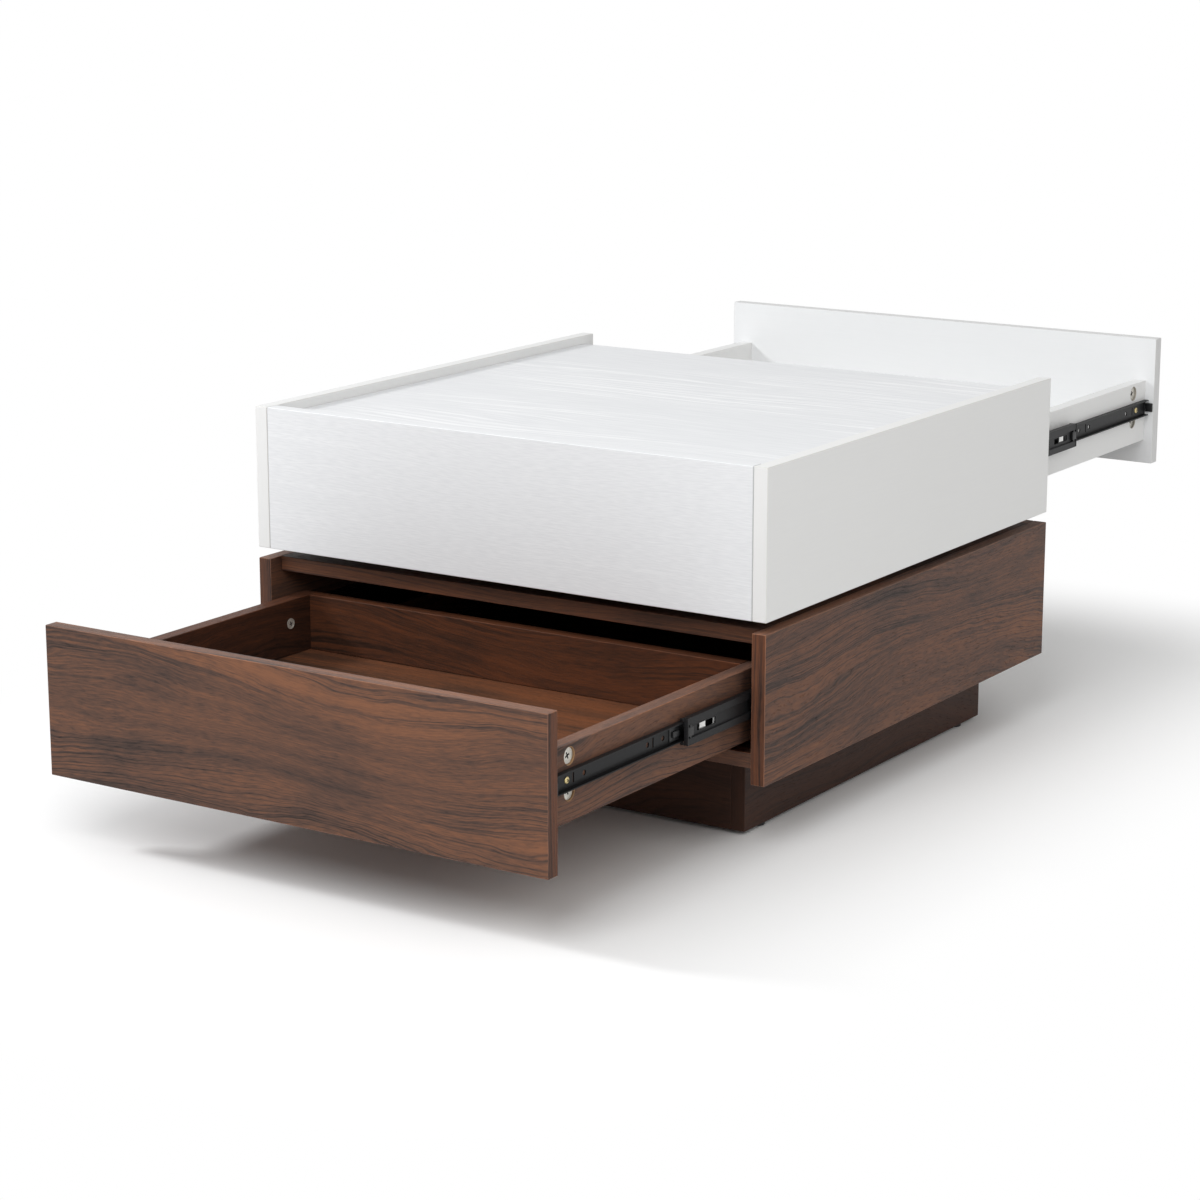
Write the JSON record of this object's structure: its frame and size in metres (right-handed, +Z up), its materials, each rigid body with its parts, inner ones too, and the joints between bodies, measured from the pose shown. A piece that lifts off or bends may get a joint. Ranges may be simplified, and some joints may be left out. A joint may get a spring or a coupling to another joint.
{
  "type": "swivel coffee table",
  "caption": "Low square coffee table: a white drawer unit with a recessed top swivels on a walnut drawer unit that stands on a set-back plinth, drawers on ball bearing slides.",
  "frame": {"origin": "on the floor on the swivel axis, at the centre of the footprint", "axes": "+Z up; the walnut drawer opens towards -Y and, at rest, the white one towards +Y; +X to the right of someone who faces the walnut drawer"},
  "size_m": [0.6, 1.266, 0.373],
  "materials": {
    "walnut_laminate": "dark walnut wood-grain laminate, satin",
    "white_laminate": "white laminate with a fine embossed grain, satin",
    "slide_steel": "black coated sheet steel",
    "zinc": "plain zinc, slightly worn",
    "ring_steel": "galvanised sheet steel",
    "glide_plastic": "black nylon"
  },
  "bodies": {
    "base": {"lower_side_left": "walnut_laminate", "lower_side_right": "walnut_laminate", "lower_bottom_board": "walnut_laminate", "lower_top_board": "walnut_laminate", "lower_back_panel": "walnut_laminate", "plinth_front": "walnut_laminate", "plinth_back": "walnut_laminate", "plinth_left": "walnut_laminate", "plinth_right": "walnut_laminate", "glide_front_left": "glide_plastic", "glide_front_right": "glide_plastic", "glide_back_left": "glide_plastic", "glide_back_right": "glide_plastic", "lower_slide_left_outer_member": "slide_steel", "lower_slide_right_outer_member": "slide_steel", "swivel_lower_ring": "ring_steel"},
    "lower_drawer": {"lower_drawer_front": "walnut_laminate", "lower_drawer_back": "walnut_laminate", "lower_drawer_bottom": "walnut_laminate", "lower_drawer_side_left": "walnut_laminate", "lower_drawer_side_right": "walnut_laminate", "lower_drawer_left_upper_cam": "zinc", "lower_drawer_left_lower_cam": "zinc", "lower_drawer_right_upper_cam": "zinc", "lower_drawer_right_lower_cam": "zinc", "lower_slide_left_inner_member": "slide_steel", "lower_slide_right_inner_member": "slide_steel"},
    "lower_left_middle": {"lower_slide_left_middle_member": "slide_steel"},
    "lower_right_middle": {"lower_slide_right_middle_member": "slide_steel"},
    "lower_left_outer_balls": {"lower_slide_left_outer_cage": "zinc"},
    "lower_right_outer_balls": {"lower_slide_right_outer_cage": "zinc"},
    "lower_left_inner_balls": {"lower_slide_left_inner_cage": "zinc"},
    "lower_right_inner_balls": {"lower_slide_right_inner_cage": "zinc"},
    "swivel_balls": {"swivel_ball_cage": "ring_steel"},
    "upper_unit": {"upper_side_left": "white_laminate", "upper_side_right": "white_laminate", "upper_bottom_board": "white_laminate", "upper_top_board": "white_laminate", "upper_front_panel": "white_laminate", "upper_slide_left_outer_member": "slide_steel", "upper_slide_right_outer_member": "slide_steel", "swivel_upper_ring": "ring_steel"},
    "upper_drawer": {"upper_drawer_front": "white_laminate", "upper_drawer_back": "white_laminate", "upper_drawer_bottom": "white_laminate", "upper_drawer_side_left": "white_laminate", "upper_drawer_side_right": "white_laminate", "upper_drawer_left_upper_cam": "zinc", "upper_drawer_left_lower_cam": "zinc", "upper_drawer_right_upper_cam": "zinc", "upper_drawer_right_lower_cam": "zinc", "upper_slide_left_inner_member": "slide_steel", "upper_slide_right_inner_member": "slide_steel"},
    "upper_left_middle": {"upper_slide_left_middle_member": "slide_steel"},
    "upper_right_middle": {"upper_slide_right_middle_member": "slide_steel"},
    "upper_left_outer_balls": {"upper_slide_left_outer_cage": "zinc"},
    "upper_right_outer_balls": {"upper_slide_right_outer_cage": "zinc"},
    "upper_left_inner_balls": {"upper_slide_left_inner_cage": "zinc"},
    "upper_right_inner_balls": {"upper_slide_right_inner_cage": "zinc"}
  },
  "joints": [
    {"name": "lower_drawer_slide", "type": "slide", "parent": "base", "child": "lower_drawer", "axis": [0, -1, 0], "range_m": [-0.333, 0.017]},
    {"name": "lower_left_middle_slide", "type": "slide", "parent": "base", "child": "lower_left_middle", "axis": [0, -1, 0], "range_m": [-0.125, 0.0064]},
    {"name": "lower_right_middle_slide", "type": "slide", "parent": "base", "child": "lower_right_middle", "axis": [0, -1, 0], "range_m": [-0.125, 0.0064]},
    {"name": "lower_left_outer_balls_roll", "type": "slide", "parent": "base", "child": "lower_left_outer_balls", "axis": [0, -1, 0], "range_m": [-0.0625, 0.0032]},
    {"name": "lower_right_outer_balls_roll", "type": "slide", "parent": "base", "child": "lower_right_outer_balls", "axis": [0, -1, 0], "range_m": [-0.0625, 0.0032]},
    {"name": "lower_left_inner_balls_roll", "type": "slide", "parent": "base", "child": "lower_left_inner_balls", "axis": [0, -1, 0], "range_m": [-0.229, 0.0117]},
    {"name": "lower_right_inner_balls_roll", "type": "slide", "parent": "base", "child": "lower_right_inner_balls", "axis": [0, -1, 0], "range_m": [-0.229, 0.0117]},
    {"name": "top_swivel", "type": "hinge", "parent": "base", "child": "upper_unit", "pos_m": [0, 0, 0.2215], "axis": [0, 0, 1], "continuous": true},
    {"name": "swivel_balls_roll", "type": "hinge", "parent": "base", "child": "swivel_balls", "pos_m": [0, 0, 0.2215], "axis": [0, 0, 1], "continuous": true},
    {"name": "upper_drawer_slide", "type": "slide", "parent": "upper_unit", "child": "upper_drawer", "axis": [0, 1, 0], "range_m": [-0.333, 0.017]},
    {"name": "upper_left_middle_slide", "type": "slide", "parent": "upper_unit", "child": "upper_left_middle", "axis": [0, 1, 0], "range_m": [-0.125, 0.0064]},
    {"name": "upper_right_middle_slide", "type": "slide", "parent": "upper_unit", "child": "upper_right_middle", "axis": [0, 1, 0], "range_m": [-0.125, 0.0064]},
    {"name": "upper_left_outer_balls_roll", "type": "slide", "parent": "upper_unit", "child": "upper_left_outer_balls", "axis": [0, 1, 0], "range_m": [-0.0625, 0.0032]},
    {"name": "upper_right_outer_balls_roll", "type": "slide", "parent": "upper_unit", "child": "upper_right_outer_balls", "axis": [0, 1, 0], "range_m": [-0.0625, 0.0032]},
    {"name": "upper_left_inner_balls_roll", "type": "slide", "parent": "upper_unit", "child": "upper_left_inner_balls", "axis": [0, 1, 0], "range_m": [-0.229, 0.0117]},
    {"name": "upper_right_inner_balls_roll", "type": "slide", "parent": "upper_unit", "child": "upper_right_inner_balls", "axis": [0, 1, 0], "range_m": [-0.229, 0.0117]}
  ],
  "couplings": [
    {"joint": "lower_left_middle_slide", "follows": "lower_drawer_slide", "ratio": 0.375},
    {"joint": "lower_right_middle_slide", "follows": "lower_drawer_slide", "ratio": 0.375},
    {"joint": "lower_left_outer_balls_roll", "follows": "lower_drawer_slide", "ratio": 0.1875},
    {"joint": "lower_right_outer_balls_roll", "follows": "lower_drawer_slide", "ratio": 0.1875},
    {"joint": "lower_left_inner_balls_roll", "follows": "lower_drawer_slide", "ratio": 0.6875},
    {"joint": "lower_right_inner_balls_roll", "follows": "lower_drawer_slide", "ratio": 0.6875},
    {"joint": "swivel_balls_roll", "follows": "top_swivel", "ratio": 0.5},
    {"joint": "upper_left_middle_slide", "follows": "upper_drawer_slide", "ratio": 0.375},
    {"joint": "upper_right_middle_slide", "follows": "upper_drawer_slide", "ratio": 0.375},
    {"joint": "upper_left_outer_balls_roll", "follows": "upper_drawer_slide", "ratio": 0.1875},
    {"joint": "upper_right_outer_balls_roll", "follows": "upper_drawer_slide", "ratio": 0.1875},
    {"joint": "upper_left_inner_balls_roll", "follows": "upper_drawer_slide", "ratio": 0.6875},
    {"joint": "upper_right_inner_balls_roll", "follows": "upper_drawer_slide", "ratio": 0.6875}
  ]
}
